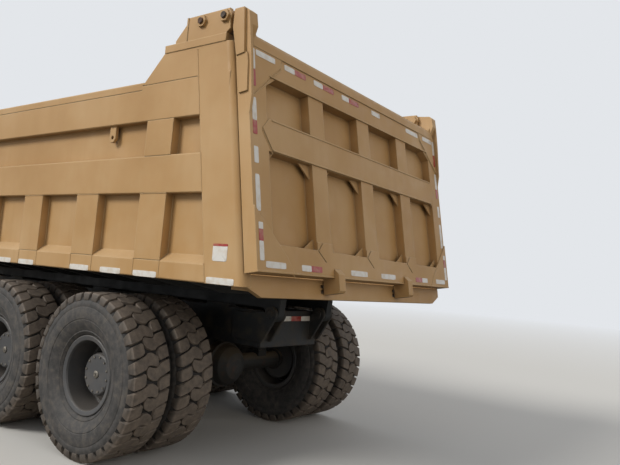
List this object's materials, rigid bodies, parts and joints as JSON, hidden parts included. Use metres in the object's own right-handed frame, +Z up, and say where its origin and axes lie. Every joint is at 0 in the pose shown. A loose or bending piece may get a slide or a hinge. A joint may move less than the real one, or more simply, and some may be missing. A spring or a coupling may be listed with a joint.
{
  "type": "mining dump truck",
  "caption": "Wide-body mining dump truck with a steered front axle, tandem rear axles on twin wheels, a ribbed tipping load bed with canopy and top-hinged tailgate, and an offset cab.",
  "frame": {"origin": "on the ground below the middle of the truck's box", "axes": "+X forward, +Y to the truck's left, +Z up"},
  "size_m": [9.075, 3.68, 4.1499],
  "materials": {
    "body_paint": "weathered matte, dusty",
    "frame_paint": "matte, dusty",
    "rim_paint": "matte, dusty",
    "tyre": "dusty tread",
    "machine_iron": "rough",
    "hoist_tube": "ground",
    "hoist_rod": "polished",
    "window": "clear",
    "lamp": "clear",
    "trim": "grained",
    "seat": "woven"
  },
  "bodies": {
    "chassis": {"chassis_frame": "frame_paint", "front_axle": "machine_iron", "rear_axles": "machine_iron", "leaf_springs": "machine_iron", "prop_shafts": "machine_iron", "engine": "machine_iron", "radiator": "machine_iron", "exhaust": "machine_iron", "front_bumper": "body_paint", "grille": "frame_paint", "lamps": "lamp", "cab_shell": "body_paint", "cab_glass": "window", "cab_interior": "trim", "seats": "seat", "deck": "frame_paint", "handrails": "body_paint", "air_cleaner": "trim", "tanks": "frame_paint", "air_tanks": "frame_paint", "mirrors": "trim"},
    "left_knuckle": {"knuckle_left": "machine_iron"},
    "right_knuckle": {"knuckle_right": "machine_iron"},
    "track_rod": {"tie_rod": "machine_iron"},
    "front_left_wheel": {"tyre_front_left": "tyre", "rim_front_left": "rim_paint"},
    "front_right_wheel": {"tyre_front_right": "tyre", "rim_front_right": "rim_paint"},
    "middle_left_wheels": {"tyres_middle_left": "tyre", "rims_middle_left": "rim_paint"},
    "middle_right_wheels": {"tyres_middle_right": "tyre", "rims_middle_right": "rim_paint"},
    "rear_left_wheels": {"tyres_rear_left": "tyre", "rims_rear_left": "rim_paint"},
    "rear_right_wheels": {"tyres_rear_right": "tyre", "rims_rear_right": "rim_paint"},
    "load_bed": {"bed_floor": "body_paint", "bed_side_left": "body_paint", "bed_side_right": "body_paint", "bed_front": "body_paint", "bed_underframe": "body_paint"},
    "rear_gate": {"tailgate": "body_paint", "lock_lugs": "body_paint"},
    "hoist_outer": {"hoist_cover": "frame_paint"},
    "hoist_tube_1": {"hoist_stage_1": "hoist_tube"},
    "hoist_tube_2": {"hoist_stage_2": "hoist_tube"},
    "hoist_rod": {"hoist_stage_3": "hoist_rod"},
    "cab_door": {"door": "body_paint", "door_glass": "window"},
    "engine_hood": {"hood": "body_paint"}
  },
  "joints": [
    {"name": "steer_left", "type": "hinge", "parent": "chassis", "child": "left_knuckle", "pos_m": [2.93754, 1.26, 0.745], "axis": [0, 0, 1], "range_deg": [-35, 35]},
    {"name": "steer_right", "type": "hinge", "parent": "chassis", "child": "right_knuckle", "pos_m": [2.93754, -1.26, 0.745], "axis": [0, 0, 1], "range_deg": [-35, 35]},
    {"name": "track_rod_slide", "type": "slide", "parent": "chassis", "child": "track_rod", "axis": [0, -1, 0], "range_m": [-0.1436, 0.1436]},
    {"name": "front_left_roll", "type": "hinge", "parent": "left_knuckle", "child": "front_left_wheel", "pos_m": [2.93754, 1.55, 0.745], "axis": [0, 1, 0], "continuous": true},
    {"name": "front_right_roll", "type": "hinge", "parent": "right_knuckle", "child": "front_right_wheel", "pos_m": [2.93754, -1.55, 0.745], "axis": [0, 1, 0], "continuous": true},
    {"name": "middle_left_roll", "type": "hinge", "parent": "chassis", "child": "middle_left_wheels", "pos_m": [-0.96246, 1.3125, 0.745], "axis": [0, 1, 0], "continuous": true},
    {"name": "middle_right_roll", "type": "hinge", "parent": "chassis", "child": "middle_right_wheels", "pos_m": [-0.96246, -1.3125, 0.745], "axis": [0, 1, 0], "continuous": true},
    {"name": "rear_left_roll", "type": "hinge", "parent": "chassis", "child": "rear_left_wheels", "pos_m": [-2.58246, 1.3125, 0.745], "axis": [0, 1, 0], "continuous": true},
    {"name": "rear_right_roll", "type": "hinge", "parent": "chassis", "child": "rear_right_wheels", "pos_m": [-2.58246, -1.3125, 0.745], "axis": [0, 1, 0], "continuous": true},
    {"name": "bed_tip", "type": "hinge", "parent": "chassis", "child": "load_bed", "pos_m": [-3.62246, 0, 1.395], "axis": [0, -1, 0], "range_deg": [0, 45]},
    {"name": "gate_swing", "type": "hinge", "parent": "load_bed", "child": "rear_gate", "pos_m": [-3.92746, 0, 3.795], "axis": [0, 1, 0], "range_deg": [0, 60]},
    {"name": "hoist_swivel", "type": "hinge", "parent": "load_bed", "child": "hoist_outer", "pos_m": [2.11754, 0, 2.1], "axis": [0, 1, 0], "range_deg": [0, 20.65]},
    {"name": "hoist_slide_1", "type": "slide", "parent": "hoist_outer", "child": "hoist_tube_1", "axis": [0, 0, -1], "range_m": [0, 1.4412]},
    {"name": "hoist_slide_2", "type": "slide", "parent": "hoist_tube_1", "child": "hoist_tube_2", "axis": [0, 0, -1], "range_m": [0, 1.4412]},
    {"name": "hoist_slide_3", "type": "slide", "parent": "hoist_tube_2", "child": "hoist_rod", "axis": [0, 0, -1], "range_m": [0, 1.4412]},
    {"name": "door_swing", "type": "hinge", "parent": "chassis", "child": "cab_door", "pos_m": [3.95754, 1.708, 2.52], "axis": [0, 0, -1], "range_deg": [0, 70]},
    {"name": "hood_lift", "type": "hinge", "parent": "chassis", "child": "engine_hood", "pos_m": [2.76354, -0.46, 2.27], "axis": [0, -1, 0], "range_deg": [0, 60]}
  ],
  "couplings": [
    {"joint": "steer_right", "follows": "steer_left", "ratio": 1},
    {"joint": "track_rod_slide", "follows": "steer_left", "m_per_rad": 0.23474},
    {"joint": "hoist_swivel", "follows": "bed_tip", "ratio": 0.4583},
    {"joint": "hoist_slide_1", "follows": "bed_tip", "m_per_rad": 1.8347},
    {"joint": "hoist_slide_2", "follows": "bed_tip", "m_per_rad": 1.8347},
    {"joint": "hoist_slide_3", "follows": "bed_tip", "m_per_rad": 1.8347}
  ]
}
